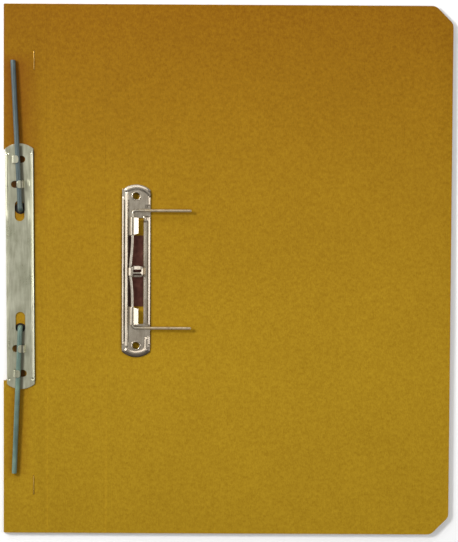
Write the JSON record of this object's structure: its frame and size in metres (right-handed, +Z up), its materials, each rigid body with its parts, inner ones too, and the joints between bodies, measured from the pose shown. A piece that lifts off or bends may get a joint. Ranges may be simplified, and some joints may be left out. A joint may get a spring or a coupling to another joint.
{
  "type": "spring file",
  "caption": "Card filing cover lying open, with a snap wire bail on the back board and a compressor bar held by flexible tubes on the binding flap.",
  "frame": {"origin": "centre of the bounding box on the surface that the open file lies on", "axes": "+X from the binding flap's free edge across the open cover, +Y up the cover's height, +Z up off the card"},
  "size_m": [0.3044, 0.361, 0.0093],
  "materials": {
    "manila_card": "uncoated mustard-brown card with a fine mottled grain",
    "plated_steel": "satin plated pressed steel, warm grey",
    "bail_wire": "bright drawn wire",
    "spring_steel": "tempered spring steel, dark red-brown",
    "staple_wire": "bright golden-coated staple wire",
    "tube_plastic": "grey-green flexible tube with a slight sheen"
  },
  "bodies": {
    "back_cover": {"back_panel": "manila_card", "spring_base_plate": "plated_steel", "upper_plate_eyelet": "plated_steel", "lower_plate_eyelet": "plated_steel", "leaf_spring": "spring_steel", "wire_saddle": "plated_steel"},
    "bail": {"wire_bail": "bail_wire"},
    "spine": {"spine_panel": "manila_card"},
    "flap": {"binding_flap": "manila_card", "front_margin": "manila_card", "tube_strip": "plated_steel", "upper_tube_peg": "plated_steel", "lower_tube_peg": "plated_steel", "upper_staple": "staple_wire", "lower_staple": "staple_wire", "compressor_bar": "plated_steel"},
    "front_cover": {"front_panel": "manila_card"},
    "tube_above": {"upper_tube": "tube_plastic"},
    "tube_below": {"lower_tube": "tube_plastic"}
  },
  "joints": [
    {"name": "bail_swing", "type": "hinge", "parent": "back_cover", "child": "bail", "pos_m": [-0.0649, 0.0008, 0.0064], "axis": [0, 1, 0], "range_deg": [-90, 0]},
    {"name": "spine_crease", "type": "hinge", "parent": "back_cover", "child": "spine", "pos_m": [-0.083, 0, 0.0031], "axis": [0, 1, 0], "range_deg": [0, 90]},
    {"name": "flap_crease", "type": "hinge", "parent": "spine", "child": "flap", "pos_m": [-0.1232, 0, 0.0031], "axis": [0, 1, 0], "range_deg": [0, 90]},
    {"name": "front_crease", "type": "hinge", "parent": "flap", "child": "front_cover", "pos_m": [-0.15235, 0, 0.001], "axis": [0, 1, 0], "range_deg": [0, 180]},
    {"name": "upper_tube_bend", "type": "hinge", "parent": "flap", "child": "tube_above", "pos_m": [-0.1413, 0.0393, 0.0057], "axis": [-1, 0, 0], "range_deg": [-104, 0]},
    {"name": "lower_tube_bend", "type": "hinge", "parent": "flap", "child": "tube_below", "pos_m": [-0.1413, -0.0377, 0.0057], "axis": [1, 0, 0], "range_deg": [-104, 0]}
  ]
}
